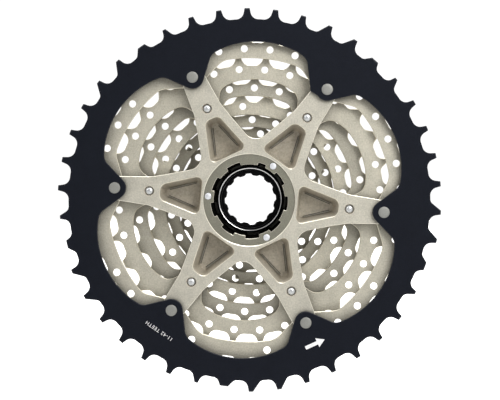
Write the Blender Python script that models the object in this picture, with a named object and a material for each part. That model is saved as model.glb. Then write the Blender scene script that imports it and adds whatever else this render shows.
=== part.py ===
"""A ten-speed bicycle cassette, 11 to 42 teeth, as the separate pieces it is assembled from.

The axle line is the Y axis and +Z is up. The side towards the spokes faces -Y and the lock
ring faces +Y. Y = 0 is the hub face that rests on the freehub's shoulder. Sizes are in
millimetres until a point is placed. A depth is the distance from the rear face of the
largest sprocket, and an angle turns from +X towards +Z.
"""

from math import asin, cos, degrees, pi, radians, sin, sqrt

import bmesh
import bpy
from mathutils import Vector

MM = 0.001
GAP = 0.3

# The chain that the teeth are cut for, and the stack of sprockets.
CHAIN_PITCH = 12.7
ROLLER_SEAT = 3.92
TIP_RISE = 0.97
VALLEY_CORNER = 3.5
PLATE = 1.6
STACK_PITCH = 3.95
HOLE_RADIUS = 1.6

# The hub's face against the freehub's shoulder, which is the model's Y = 0.
SEAT_DEPTH = 2.6

# The freehub spline: nine notches, one of them narrow.
SPLINE_NOTCHES = 9
NOTCH_RADIUS = 17.4
CREST_RADIUS = 16.05
FIRST_NOTCH = 34.8
NOTCH_HALF_ANGLE = 10.8
NARROW_NOTCH = 1
NARROW_NOTCH_END = 1.4

# Six arms carry the four largest sprockets on an outer and an inner circle of rivets.
ARMS = 6
FIRST_ARM = -5.2
SECTOR = 360 / ARMS
OUTER_RIVET_CIRCLE = 60.6
INNER_RIVET_CIRCLE = 45.15
OUTER_RIVET_HEAD = 2.55
OUTER_RIVET_SHANK = 1.9
INNER_RIVET_DOME = 1.45
INNER_RIVET_SINK = 2.05
DOME_TOP = 0.65
DOME_RISE = 0.45
HEAD_PROUD = 0.1
COLLAR_RADIUS = 3.3
RIVET_SIDES = 8
COLLAR_SIDES = 12
HOLE_SIDES = 6
ROUND_SIDES = 24

# The depths of the spider's faces, and how far its arms reach at each level.
ARM_REAR = PLATE + GAP
TIP_FRONT = STACK_PITCH - GAP
STEP_FRONT = 2 * STACK_PITCH - GAP
HUB_FRONT = 4 * STACK_PITCH - GAP
RECESS_RADIUS = 20.6
ARM_VALLEY = 25.4
ARM_VALLEY_CORNER = 6.0
ARM_BENDS = ((44.8, 6.5), (38.0, 8.2))

# The outline of the arms at each level, from the rear: rear and front depth, reach, how much
# narrower than at the rear, half width at the tip and corner radius there.
ARM_LEVELS = (
    (ARM_REAR, TIP_FRONT, 65.6, 0.0, 4.9, 3.4),
    (TIP_FRONT, STEP_FRONT, 52.4, 0.5, 4.9, 2.4),
    (STEP_FRONT, HUB_FRONT, 41.2, 1.0, 6.3, 1.0),
)

# A pocket in each arm's root. Each end: radius, half width, corner radius, at its mouth and
# at its floor.
POCKET_FLOOR = 12.2
POCKET_MOUTH = ((22.3, 7.9, 2.2), (40.6, 2.6, 2.4))
POCKET_BASE = ((22.6, 7.1, 2.0), (39.2, 1.8, 1.7))

# Three long pins hold the spider, four sprockets and three spacers together.
PINS = 3
FIRST_PIN = 54.8
PIN_CIRCLE = 18.6
PIN_RADIUS = 1.5
PIN_END_RADIUS = 1.2
PIN_CHAMFER = 0.3

# The splined sprockets: the largest two have spokes between a hub and a ring, and the last
# two have a boss of their own.
SPACER_RADIUS = 23.2
BORE_HUB_RADIUS = 27.3
SPOKE_HALF_WIDTH = 5.5
SPOKE_RING_RADIUS = {24: 38.9, 21: 33.4}
BOSS_RADIUS = {13: 21.0, 11: 18.1}

# The lock ring: flange, threaded barrel and the twelve notches for its tool.
FLANGE_RADIUS = 17.3
FLANGE_THICKNESS = 1.5
BARREL_RADIUS = 15.25
BARREL_BORE = 13.4
BARREL_CHAMFER = 0.5
BARREL_END_DEPTH = 29.0
TOOL_NOTCHES = 12
TOOL_NOTCH_RADIUS = 12.1
TOOL_TOOTH_RADIUS = 11.25
TOOL_SPLINE_DEPTH = 34.5
FIRST_TOOL_NOTCH = 4.0
WASHER = 0.5
WASHER_OUTER_RADIUS = 16.9
WASHER_INNER_RADIUS = 15.6

# Tooth count: place in the stack, angle of the first tooth, circle of holes, and the
# teeth whose hole is left out where a shift ramp needs the metal.
SPROCKETS = {
    42: (0, -3.69, None, ()),
    37: (1, 4.3, 68.1, (13, 19, 20, 26, 27, 34)),
    32: (2, 4.5, 59.2, (2, 3, 11, 18, 19, 27)),
    28: (3, 10.35, 51.0, (1, 2, 9, 12, 15, 16, 23, 26)),
    24: (4, 4.25, 42.8, (5, 13, 21)),
    21: (5, 2.6, 36.8, ()),
    18: (6, 0.9, 30.8, ()),
    15: (7, 2.0, None, ()),
    13: (8, 5.0, None, ()),
    11: (9, 0.0, None, ()),
}

# Shift gates: how many a sprocket has and the place of the first, in teeth.
GATES = {
    42: (5, 6.2),
    37: (4, 4.0),
    32: (4, 2.0),
    28: (4, 1.0),
    24: (3, 5.0),
    21: (3, 1.0),
    18: (2, 2.0),
    15: (2, 1.0),
}

# A tooth: drop of its tip, then for the side before and the side after its middle the half
# width of the tip, the run of the flank and the radius at the flank's foot. A tooth near a gate
# has long straight flanks, and the one in the gate is low.
PLAIN_TOOTH = (0.0, (1.15, 1.1, VALLEY_CORNER), (1.15, 1.1, VALLEY_CORNER))
GATE_TEETH = {
    -1: (0.65, (0.3, 2.4, 2.8), (1.2, 1.1, 3.2)),
    0: (1.75, (1.5, 1.7, 2.8), (2.1, 2.8, 2.4)),
    1: (0.0, (1.0, 1.1, VALLEY_CORNER), (0.85, 3.9, 2.4)),
    2: (0.0, (1.0, 1.1, VALLEY_CORNER), (0.85, 3.9, 2.4)),
}

# Half of a window's edge, from its middle to the lug's middle: radius, angle from the
# window's middle, corner radius. The lugs of the two inner rings reach the inner rivets.
WINDOW_EDGE = {
    37: ((64.0, 0.0, 0), (64.0, 8.0, 0), (64.0, 15.8, 8), (56.9, 27.5, 4)),
    32: ((55.1, 0.0, 0), (54.3, 10.8, 0), (52.4, 19.8, 6), (41.6, 25.3, 2.5)),
    28: ((47.4, 0.0, 0), (47.4, 9.0, 0), (47.1, 17.5, 5), (41.6, 25.0, 2.5)),
}

# The largest sprocket's window: a wide arc, then a straight flank to the lug's round tip.
WINDOW_ARC_CENTRE = 32.7
WINDOW_ARC_RADIUS = 38.4
WINDOW_ARC_STEPS = 4
LUG_TIP_RADIUS = 5.1
LUG_TIP_TURN = 24
FLANK_ANGLE = 41.5
WINDOW_CORNER_RADIUS = 5.5
WIDE_LUG_WINDOW = 1
WIDE_LUG_EXTRA = 2.4


def point(radius, angle):
    return Vector((radius * cos(radians(angle)), radius * sin(radians(angle))))


def circle(radius, sides, centre=(0, 0), start=0.0):
    return [Vector(centre) + point(radius, start + 360 * i / sides) for i in range(sides)]


def mirrored(corners):
    """The same (point, radius) corners on the other side of the X axis, in reverse order."""
    return [(Vector((p.x, -p.y)), corner) for p, corner in reversed(corners)]


def turned_corners(corners, angle):
    return list(zip(turned([p for p, _ in corners], angle), [corner for _, corner in corners]))


def turned(points, angle):
    turn = point(1, angle)
    return [Vector((p.x * turn.x - p.y * turn.y, p.x * turn.y + p.y * turn.x)) for p in points]


def rounded(corners, steps=3):
    """The closed outline through the corners (point, radius), each rounded by its radius."""
    outline = []
    for i, (corner, radius) in enumerate(corners):
        if not radius:
            outline.append(corner)
            continue
        back = (corners[i - 1][0] - corner).normalized()
        ahead = (corners[(i + 1) % len(corners)][0] - corner).normalized()
        half = back.angle(ahead) / 2
        centre = corner + (back + ahead).normalized() * radius / sin(half)
        first = corner + back * radius / (sin(half) / cos(half)) - centre
        last = corner + ahead * radius / (sin(half) / cos(half)) - centre
        for step in range(steps + 1):
            part = first.lerp(last, step / steps).normalized() * radius
            outline.append(centre + part)
    return outline


def pitch_radius(teeth):
    return CHAIN_PITCH / 2 / sin(pi / teeth)


def gate_offsets(teeth):
    """Tooth number to its place beside the nearest shift gate, for the teeth that have one."""
    count, first = GATES.get(teeth, (0, 0))
    gates = [round(first + i * teeth / count) for i in range(count)]
    return {(gate + offset) % teeth: offset for gate in gates for offset in GATE_TEETH}


def toothed_outline(teeth):
    """Flat tooth tips with round-bottomed valleys between them."""
    radius, step = pitch_radius(teeth), 360 / teeth
    root = radius - ROLLER_SEAT
    offsets = gate_offsets(teeth)
    corners = []
    for tooth in range(teeth):
        middle = SPROCKETS[teeth][1] + tooth * step
        drop, before, after = GATE_TEETH.get(offsets.get(tooth), PLAIN_TOOTH)
        tip = radius + TIP_RISE - drop
        sides = []
        for side, (half_width, run, corner) in ((-1, before), (1, after)):
            end = point(tip, middle + side * degrees(half_width / tip))
            foot = point(root, middle + side * degrees((half_width + run) / tip))
            sides.append([(end, 0), (foot, corner)])
        corners += [(point(root, middle - step / 2), 0)] + sides[0][::-1] + sides[1]
    return rounded(corners, steps=2)


def spline_bore():
    """The bore that slides on the freehub: crests between notches."""
    outline = []
    for notch in range(SPLINE_NOTCHES):
        middle = FIRST_NOTCH + notch * 360 / SPLINE_NOTCHES
        start = middle - NOTCH_HALF_ANGLE
        end = middle + (NARROW_NOTCH_END if notch == NARROW_NOTCH else NOTCH_HALF_ANGLE)
        following = middle + 360 / SPLINE_NOTCHES - NOTCH_HALF_ANGLE
        outline += [point(NOTCH_RADIUS, a) for a in (start, end)]
        outline += [point(CREST_RADIUS, a) for a in (end, following)]
    return outline


def window_middle(window):
    return FIRST_ARM + SECTOR * (window + 0.5)


def lug_ring_edge(teeth):
    """The inner edge of a sprocket whose lugs reach in to the rivets."""
    half = [(point(radius, angle), corner) for radius, angle, corner in WINDOW_EDGE[teeth]]
    corners = []
    for window in range(ARMS):
        corners += turned_corners(mirrored(half[1:]) + half, window_middle(window))
    return rounded(corners, steps=2)


def half_window_of_largest(extra):
    """Half of a window in the largest sprocket, from its middle to the lug's middle."""
    lug = SECTOR / 2
    tip = point(OUTER_RIVET_CIRCLE, lug)
    along = point(1, lug - FLANK_ANGLE)
    normal = point(1, lug - FLANK_ANGLE - 90)
    flank = tip + normal * (LUG_TIP_RADIUS + extra)
    towards = flank - Vector((WINDOW_ARC_CENTRE, 0))
    reach = along.dot(towards)
    far = sqrt(reach**2 - towards.length_squared + WINDOW_ARC_RADIUS**2) - reach
    corner = flank + along * far
    swing = degrees(asin(corner.y / WINDOW_ARC_RADIUS))
    arc = []
    for i in range(WINDOW_ARC_STEPS):
        turn = swing * i / WINDOW_ARC_STEPS
        arc.append((Vector((WINDOW_ARC_CENTRE, 0)) + point(WINDOW_ARC_RADIUS, turn), 0))
    lug_end = [(tip + point(LUG_TIP_RADIUS, lug + 180 + turn), 0) for turn in (LUG_TIP_TURN, 0)]
    return arc + [(corner, WINDOW_CORNER_RADIUS), (flank, 0)] + lug_end


def largest_ring_edge():
    corners = []
    for window in range(ARMS):
        wide = WIDE_LUG_EXTRA if window == WIDE_LUG_WINDOW else 0
        before = mirrored(half_window_of_largest(wide)[1:-1])
        corners += turned_corners(before + half_window_of_largest(0), window_middle(window))
    return rounded(corners, steps=2)


def spoke_openings(teeth):
    """Six openings between the splined hub and the ring of a smaller sprocket."""
    openings = []
    for window in range(ARMS):
        half = []
        for radius, count in ((BORE_HUB_RADIUS, 1), (SPOKE_RING_RADIUS[teeth], 2)):
            reach = SECTOR / 2 - degrees(asin(SPOKE_HALF_WIDTH / radius))
            spread = [reach * i / count for i in range(-count, count + 1)]
            half.append([point(radius, a) for a in spread])
        openings.append(turned(half[0] + half[1][::-1], window_middle(window)))
    return openings


def arm_outline(reach, narrower, tip_half, tip_corner):
    """The spider seen along the axle: six tapered arms that meet in round fillets."""
    corners = []
    for arm in range(ARMS):
        bends = [(along, half - narrower) for along, half in ARM_BENDS if along < reach - tip_corner]
        side = [(Vector((reach, tip_half)), tip_corner)] + [(Vector(bend), 0) for bend in bends]
        valley = (point(ARM_VALLEY - narrower, SECTOR / 2), ARM_VALLEY_CORNER)
        corners += turned_corners(mirrored(side) + side + [valley], FIRST_ARM + arm * SECTOR)
    return rounded(corners, steps=3)


def pocket(ends):
    """A triangular pocket along an arm: wide at the hub, with its narrow end outwards."""
    side = [(Vector((radius, half_width)), corner) for radius, half_width, corner in ends]
    return rounded(side + mirrored(side), steps=3)


def piece_material(name, colour, metallic, roughness):
    material = bpy.data.materials.new(name)
    material.use_nodes = True
    shader = material.node_tree.nodes["Principled BSDF"]
    shader.inputs["Base Color"].default_value = (*colour, 1)
    shader.inputs["Metallic"].default_value = metallic
    shader.inputs["Roughness"].default_value = roughness
    material.diffuse_color = (*colour, 1)
    return material


class Shell:
    """One closed mesh made of rings of points, walls between rings and caps across them."""

    def __init__(self):
        self.mesh = bmesh.new()

    def ring(self, points, depth):
        y = (depth - SEAT_DEPTH) * MM
        return [self.mesh.verts.new((p.x * MM, y, p.y * MM)) for p in points]

    def wall(self, *rings):
        for one, other in zip(rings, rings[1:]):
            for i in range(len(one)):
                self.mesh.faces.new((one[i - 1], one[i], other[i], other[i - 1]))

    def cap(self, *rings):
        edges = []
        for ring in rings:
            for i in range(len(ring)):
                pair = (ring[i - 1], ring[i])
                edges.append(self.mesh.edges.get(pair) or self.mesh.edges.new(pair))
        bmesh.ops.triangle_fill(self.mesh, use_beauty=True, edges=edges)

    def plate(self, rear, front, outlines):
        """A flat plate between two depths. Each outline is its points, or rear and front points."""
        ends = ([], [])
        for outline in outlines:
            pair = outline if isinstance(outline, tuple) else (outline, outline)
            rings = [self.ring(points, depth) for points, depth in zip(pair, (rear, front))]
            self.wall(*rings)
            ends[0].append(rings[0])
            ends[1].append(rings[1])
        self.cap(*ends[0])
        self.cap(*ends[1])

    def data(self, name):
        bmesh.ops.recalc_face_normals(self.mesh, faces=self.mesh.faces)
        mesh = bpy.data.meshes.new(name)
        self.mesh.to_mesh(mesh)
        self.mesh.free()
        mesh.shade_smooth()
        mesh.set_sharp_from_angle(angle=radians(35))
        return mesh


def add_object(name, mesh, material, location=(0, 0, 0)):
    piece = bpy.data.objects.new(name, mesh)
    bpy.context.scene.collection.objects.link(piece)
    if not mesh.materials:
        mesh.materials.append(material)
    piece.location = location
    return piece


def rivet_angles():
    return [FIRST_ARM + SECTOR * arm for arm in range(ARMS)]


def pin_angles():
    return [FIRST_PIN + 360 * pin / PINS for pin in range(PINS)]


def round_holes(circle_radius, angles, rear, front=None, sides=RIVET_SIDES):
    """Round holes on a circle, as straight or tapered outlines."""
    holes = []
    for angle in angles:
        centre = point(circle_radius, angle)
        ends = (circle(rear, sides, centre), circle(front or rear, sides, centre))
        holes.append(ends)
    return holes


def lightening_holes(teeth):
    _, first_tooth, hole_circle, left_out = SPROCKETS[teeth]
    if hole_circle is None:
        return []
    angles = [first_tooth + k * 360 / teeth for k in range(teeth) if k not in left_out]
    return round_holes(hole_circle, angles, HOLE_RADIUS, sides=HOLE_SIDES)


def sprocket_depth(teeth):
    return SPROCKETS[teeth][0] * STACK_PITCH


def pin_holes():
    return round_holes(PIN_CIRCLE, pin_angles(), PIN_RADIUS + GAP, sides=HOLE_SIDES)


def riveted_sprocket(teeth, inner_edge, rivet_holes, material):
    shell = Shell()
    rear = sprocket_depth(teeth)
    outlines = [toothed_outline(teeth), inner_edge] + rivet_holes + lightening_holes(teeth)
    shell.plate(rear, rear + PLATE, outlines)
    name = f"sprocket_{teeth}t"
    return add_object(name, shell.data(name), material)


def splined_sprocket(teeth, openings, material):
    shell = Shell()
    rear = sprocket_depth(teeth)
    outlines = [toothed_outline(teeth), spline_bore()] + pin_holes() + openings
    shell.plate(rear, rear + PLATE, outlines + lightening_holes(teeth))
    name = f"sprocket_{teeth}t"
    return add_object(name, shell.data(name), material)


def sprocket_with_boss(teeth, material):
    """A small sprocket whose own boss keeps it clear of the sprocket behind."""
    shell = Shell()
    boss = circle(BOSS_RADIUS[teeth], ROUND_SIDES)
    rear = sprocket_depth(teeth)
    start = rear - STACK_PITCH + PLATE + GAP
    front = rear + PLATE
    teeth_rear = shell.ring(toothed_outline(teeth), rear)
    teeth_front = shell.ring(toothed_outline(teeth), front)
    bore_start = shell.ring(spline_bore(), start)
    bore_front = shell.ring(spline_bore(), front)
    boss_start = shell.ring(boss, start)
    boss_rear = shell.ring(boss, rear)
    shell.wall(teeth_rear, teeth_front)
    shell.wall(bore_start, bore_front)
    shell.wall(boss_start, boss_rear)
    shell.cap(boss_start, bore_start)
    shell.cap(teeth_rear, boss_rear)
    shell.cap(teeth_front, bore_front)
    name = f"sprocket_{teeth}t"
    return add_object(name, shell.data(name), material)


def spacer(behind, ahead, material):
    """The ring between two splined sprockets."""
    shell = Shell()
    rear = sprocket_depth(behind) + PLATE + GAP
    front = sprocket_depth(ahead) - GAP
    shell.plate(rear, front, [circle(SPACER_RADIUS, ROUND_SIDES), spline_bore()] + pin_holes())
    name = f"spacer_{behind}_{ahead}"
    return add_object(name, shell.data(name), material)


def spider(material):
    """The carrier: a splined hub and six arms, stepped down in front to seat each sprocket."""
    shell = Shell()
    rears, fronts = [], []
    for rear, front, *shape in ARM_LEVELS:
        outline = arm_outline(*shape)
        rears.append(shell.ring(outline, rear))
        fronts.append(shell.ring(outline, front))
        shell.wall(rears[-1], fronts[-1])

    def bored(outlines, depths):
        """The rings of each hole's rear and front ends, with the wall between them."""
        ends = []
        for outline in outlines:
            rings = [shell.ring(points, depth) for points, depth in zip(outline, depths)]
            shell.wall(*rings)
            ends.append(rings)
        return [rings[0] for rings in ends], [rings[1] for rings in ends]

    outer = round_holes(OUTER_RIVET_CIRCLE, rivet_angles(), OUTER_RIVET_SHANK + GAP)
    inner = round_holes(INNER_RIVET_CIRCLE, rivet_angles(), INNER_RIVET_SINK, INNER_RIVET_DOME + GAP)
    outer_rear, outer_front = bored(outer, (ARM_REAR, TIP_FRONT))
    inner_rear, inner_front = bored(inner, (ARM_REAR, STEP_FRONT))
    mouth, base = pocket(POCKET_MOUTH), pocket(POCKET_BASE)
    pockets = [(turned(mouth, angle), turned(base, angle)) for angle in rivet_angles()]
    mouths, floors = bored(pockets, (ARM_REAR, POCKET_FLOOR))
    recess = circle(RECESS_RADIUS, ROUND_SIDES)
    recess_edge, recess_floor = bored([(recess, recess)], (ARM_REAR, SEAT_DEPTH))
    pins_rear, pins_front = bored(pin_holes(), (SEAT_DEPTH, HUB_FRONT))
    bore_rear, bore_front = bored([(spline_bore(), spline_bore())], (SEAT_DEPTH, HUB_FRONT))

    shell.cap(rears[0], *outer_rear, *inner_rear, *mouths, *recess_edge)
    shell.cap(*recess_floor, *bore_rear, *pins_rear)
    shell.cap(fronts[0], rears[1], *outer_front)
    shell.cap(fronts[1], rears[2], *inner_front)
    shell.cap(fronts[2], *bore_front, *pins_front)
    for floor in floors:
        shell.cap(floor)
    return add_object("spider", shell.data("spider"), material)


def turned_pin(name, profile, sides=RIVET_SIDES):
    """A solid pin about its own axis, from (radius, depth) pairs that start at its rear end."""
    shell = Shell()
    rings = [shell.ring(circle(radius, sides), depth) for radius, depth in profile]
    shell.wall(*rings)
    shell.cap(rings[0])
    shell.cap(rings[-1])
    return shell.data(name)


def copies_on_circle(name, mesh, radius, angles, material):
    for number, angle in enumerate(angles, 1):
        centre = point(radius, angle) * MM
        add_object(f"{name}_{number}", mesh, material, (centre.x, 0, centre.y))


def outer_rivets(material):
    """Flush rivets, with a countersunk head in the largest sprocket and in the next one."""
    front = sprocket_depth(37) + PLATE
    profile = (
        (OUTER_RIVET_HEAD, -HEAD_PROUD),
        (OUTER_RIVET_SHANK, PLATE),
        (OUTER_RIVET_SHANK, STACK_PITCH),
        (OUTER_RIVET_HEAD, front),
    )
    mesh = turned_pin("outer_rivet", profile)
    copies_on_circle("outer_rivet", mesh, OUTER_RIVET_CIRCLE, rivet_angles(), material)


def inner_rivets(material):
    """Domed rivets through an arm, a sprocket lug, a collar and another lug."""
    front = sprocket_depth(28) + PLATE
    profile = (
        (DOME_TOP, ARM_REAR - HEAD_PROUD),
        (INNER_RIVET_DOME, ARM_REAR + DOME_RISE),
        (INNER_RIVET_DOME, sprocket_depth(28)),
        (INNER_RIVET_SINK, front),
    )
    mesh = turned_pin("inner_rivet", profile)
    copies_on_circle("inner_rivet", mesh, INNER_RIVET_CIRCLE, rivet_angles(), material)


def rivet_collars(material):
    """Collars on the inner rivets, which space the two inner lugged sprockets."""
    shell = Shell()
    rear = sprocket_depth(32) + PLATE + GAP
    front = sprocket_depth(28) - GAP
    bore = circle(INNER_RIVET_DOME + GAP, RIVET_SIDES)
    shell.plate(rear, front, [circle(COLLAR_RADIUS, COLLAR_SIDES), bore])
    mesh = shell.data("rivet_collar")
    copies_on_circle("rivet_collar", mesh, INNER_RIVET_CIRCLE, rivet_angles(), material)


def fixing_pins(material):
    profile = (
        (PIN_END_RADIUS, SEAT_DEPTH - HEAD_PROUD),
        (PIN_RADIUS, SEAT_DEPTH - HEAD_PROUD + PIN_CHAMFER),
        (PIN_RADIUS, sprocket_depth(15) + PLATE),
    )
    mesh = turned_pin("fixing_pin", profile, HOLE_SIDES)
    copies_on_circle("fixing_pin", mesh, PIN_CIRCLE, pin_angles(), material)


def tool_spline():
    """The twelve notches that the lock ring's tool turns, four points to a notch."""
    step = 360 / TOOL_NOTCHES
    outline = []
    for notch in range(TOOL_NOTCHES):
        middle = FIRST_TOOL_NOTCH + notch * step
        outline += [point(TOOL_NOTCH_RADIUS, middle + a) for a in (-step / 6, step / 6)]
        outline += [point(TOOL_TOOTH_RADIUS, middle + a) for a in (step / 3, 2 * step / 3)]
    return outline


def lock_ring(rear, material):
    """A flange on a threaded barrel, with the tool spline in its outer end."""
    front = rear + FLANGE_THICKNESS
    shell = Shell()
    profile = (
        (BARREL_BORE, TOOL_SPLINE_DEPTH),
        (BARREL_BORE, BARREL_END_DEPTH),
        (BARREL_RADIUS - BARREL_CHAMFER, BARREL_END_DEPTH),
        (BARREL_RADIUS, BARREL_END_DEPTH + BARREL_CHAMFER),
        (BARREL_RADIUS, rear),
        (FLANGE_RADIUS, rear),
        (FLANGE_RADIUS, front),
    )
    rings = [shell.ring(circle(radius, ROUND_SIDES), depth) for radius, depth in profile]
    spline = [shell.ring(tool_spline(), depth) for depth in (TOOL_SPLINE_DEPTH, front)]
    shell.wall(*rings)
    shell.wall(*spline)
    shell.cap(rings[0], spline[0])
    shell.cap(rings[-1], spline[1])
    return add_object("lock_ring", shell.data("lock_ring"), material)


def lock_ring_washer(rear, material):
    shell = Shell()
    edges = [circle(radius, ROUND_SIDES) for radius in (WASHER_OUTER_RADIUS, WASHER_INNER_RADIUS)]
    shell.plate(rear, rear + WASHER, edges)
    name = "lock_ring_washer"
    return add_object(name, shell.data(name), material)


def clear_scene():
    for old in list(bpy.data.objects):
        bpy.data.objects.remove(old)


def build():
    clear_scene()
    black = piece_material("black_steel", (0.016, 0.018, 0.026), 0.9, 0.38)
    champagne = piece_material("champagne_alloy", (0.60, 0.55, 0.45), 0.9, 0.42)
    nickel = piece_material("nickel_steel", (0.52, 0.48, 0.38), 0.95, 0.4)
    rivet_steel = piece_material("rivet_steel", (0.62, 0.61, 0.58), 1.0, 0.35)
    polymer = piece_material("black_polymer", (0.02, 0.02, 0.021), 0.0, 0.5)
    ring_black = piece_material("lock_ring_black", (0.012, 0.012, 0.014), 0.8, 0.35)

    head, shank = OUTER_RIVET_HEAD + GAP, OUTER_RIVET_SHANK + GAP
    angles = rivet_angles()
    tapered_in = round_holes(OUTER_RIVET_CIRCLE, angles, head, shank)
    tapered_out = round_holes(OUTER_RIVET_CIRCLE, angles, shank, head)
    straight = round_holes(INNER_RIVET_CIRCLE, angles, INNER_RIVET_DOME + GAP)
    sunk = round_holes(INNER_RIVET_CIRCLE, angles, INNER_RIVET_DOME + GAP, INNER_RIVET_SINK + GAP)
    riveted_sprocket(42, largest_ring_edge(), tapered_in, black)
    riveted_sprocket(37, lug_ring_edge(37), tapered_out, nickel)
    riveted_sprocket(32, lug_ring_edge(32), straight, nickel)
    riveted_sprocket(28, lug_ring_edge(28), sunk, nickel)
    spider(champagne)
    outer_rivets(rivet_steel)
    inner_rivets(rivet_steel)
    rivet_collars(champagne)

    splined_sprocket(24, spoke_openings(24), nickel)
    splined_sprocket(21, spoke_openings(21), nickel)
    splined_sprocket(18, [], nickel)
    splined_sprocket(15, [], nickel)
    for behind, ahead in ((24, 21), (21, 18), (18, 15)):
        spacer(behind, ahead, polymer)
    fixing_pins(rivet_steel)

    sprocket_with_boss(13, nickel)
    sprocket_with_boss(11, nickel)
    washer_rear = sprocket_depth(11) + PLATE + GAP
    lock_ring_washer(washer_rear, rivet_steel)
    lock_ring(washer_rear + WASHER + GAP, ring_black)


build()
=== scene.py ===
"""The looks of a ten-speed bicycle cassette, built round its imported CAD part.

The axle line is the Y axis and +Z is up. The side towards the spokes faces -Y, and the camera
looks at that side. Outlines are in millimetres in the plane across the axle, and an angle turns
from +X towards +Z. Where each piece lies along the axle comes from its CAD node.
"""

from math import asin, cos, degrees, pi, radians, sin, sqrt

import bmesh
import bpy
from mathutils import Matrix, Vector


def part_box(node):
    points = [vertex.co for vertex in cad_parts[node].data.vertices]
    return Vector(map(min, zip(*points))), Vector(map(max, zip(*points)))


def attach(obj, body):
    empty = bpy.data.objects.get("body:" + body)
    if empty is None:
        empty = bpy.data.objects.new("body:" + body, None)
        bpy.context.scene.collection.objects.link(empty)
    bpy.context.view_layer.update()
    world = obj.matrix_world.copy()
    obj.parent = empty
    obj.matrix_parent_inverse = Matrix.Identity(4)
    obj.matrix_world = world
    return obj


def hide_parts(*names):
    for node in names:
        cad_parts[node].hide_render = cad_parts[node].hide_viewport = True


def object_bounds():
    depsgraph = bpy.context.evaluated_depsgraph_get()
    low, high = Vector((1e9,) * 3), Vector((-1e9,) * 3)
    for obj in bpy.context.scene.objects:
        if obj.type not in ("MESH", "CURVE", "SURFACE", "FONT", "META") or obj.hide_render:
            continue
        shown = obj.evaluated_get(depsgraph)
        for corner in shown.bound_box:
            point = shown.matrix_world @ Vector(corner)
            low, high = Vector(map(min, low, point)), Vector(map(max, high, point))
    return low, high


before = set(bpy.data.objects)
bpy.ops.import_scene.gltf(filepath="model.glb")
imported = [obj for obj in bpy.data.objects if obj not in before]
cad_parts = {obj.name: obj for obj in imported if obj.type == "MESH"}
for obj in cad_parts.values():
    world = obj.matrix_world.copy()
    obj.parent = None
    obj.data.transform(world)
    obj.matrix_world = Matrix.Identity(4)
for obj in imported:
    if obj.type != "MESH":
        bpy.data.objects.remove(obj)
cad_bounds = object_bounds()

MM = 0.001

# How far edges are broken: everywhere, and along the windows of the riveted sprockets.
EDGE = 0.16
WINDOW_BREAK = 0.24

# Sides of round shapes, the bend in degrees above which an edge is sharp, and how far the
# corner of a shifted outline may stretch.
HOLE_SIDES = 32
RIVET_SIDES = 40
COLLAR_SIDES = 48
RING_SIDES = 96
WIDE_RING_SIDES = 128
SHARP_BEND = 20
SHARP_RIVET_BEND = 32
MITRE_LIMIT = 0.6

# The order of a piece's materials, by what each covers.
PLAIN, EDGES, BORE, POCKET, RECESS, POCKET_SHADOW_LINE = range(6)
BROKEN_EDGES = (EDGES, PLAIN, EDGES)
DARK_BORE = (BORE, BORE, EDGES)

# Teeth for a half-inch chain. A tooth thins towards its tip over THINNING_LENGTH, which starts
# THINNING_START inside the pitch circle.
CHAIN_PITCH = 12.7
PLATE = 1.6
ROLLER_SEAT = 3.92
TIP_RISE = 0.97
VALLEY_CORNER = 3.5
TIP_CORNER = 0.28
TIP_CORNER_LOSS = 0.4
TIP_CHAMFER = 0.5
TIP_CHAMFER_DEPTH = 0.34
THINNING_START = 1.6
THINNING_LENGTH = 2.2
HOLE_RADIUS = 1.6

# The ramps beside the gates: corners as (along the teeth, outwards), from RAMP_INSET inside the
# valleys, and for sprockets without holes how many teeth past the gate they stand.
RAMP_SHAPE = ((-3.6, -0.9), (3.4, -1.7), (4.2, 0.6), (-3.0, 1.0))
RAMP_INSET = 1.9
RAMP_CORNER = 0.7
RAMP_DRAFT = 0.25
RAMP_DEPTH = 0.35
RAMP_AFTER_GATE = 0.9

# The freehub spline, with one narrow notch.
SPLINE_NOTCHES = 9
NOTCH_RADIUS = 17.4
CREST_RADIUS = 16.05
FIRST_NOTCH = 34.8
NOTCH_HALF_ANGLE = 10.8
NARROW_NOTCH = 1
NARROW_NOTCH_END = 1.4
SPLINE_CORNER = 0.3

# Six arms and their two circles of rivets.
ARMS = 6
FIRST_ARM = -5.2
SECTOR = 360 / ARMS
ARM_ANGLES = [FIRST_ARM + SECTOR * arm for arm in range(ARMS)]
OUTER_RIVET_CIRCLE = 60.6
INNER_RIVET_CIRCLE = 45.15
OUTER_RIVET_HEAD = 2.55
OUTER_RIVET_SHANK = 1.9
INNER_RIVET_DOME = 1.45
INNER_RIVET_CAP = 1.85
INNER_RIVET_SINK = 2.05
OUTER_HEAD_DEPTH = 1.7
INNER_DOME_RISE = 1.25
COLLAR_RADIUS = 3.3

# The dark gap between a rivet or pin and its hole, and the holes in the arms: the outer ones,
# and the dish round each inner rivet's dome as (radius, depth).
RIVET_CLEARANCE = 0.08
ARM_HOLE_RADIUS = 2.2
DISH = ((2.35, 0.0), (2.15, 0.2))
DISH_DEPTH = 0.9

# The arms. Depths are from their rear face, except SEAT, which is the plane that rests on the
# freehub's shoulder.
SEAT = 0.0
RECESS_RADIUS = 20.6
RECESS_RIM = 0.35
RECESS_RIM_DEPTH = 0.3
ARM_VALLEY = 25.4
ARM_VALLEY_CORNER = 6.0

# Where an arm's sides bend, as (distance from the axle, half width), and its outline at each of
# its three levels: reach, how much narrower it is, half width of its tip and corner radius there.
ARM_BENDS = ((44.8, 6.5), (38.0, 8.2))
ARM_BEND_CORNER = 8
ARM_REACH = ((65.6, 0.0, 4.9, 3.4), (52.4, 0.5, 4.9, 2.4), (41.2, 1.0, 6.3, 1.0))
ARM_STEPS = (1.75, 5.7)
ARM_EDGE = 0.2

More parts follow.
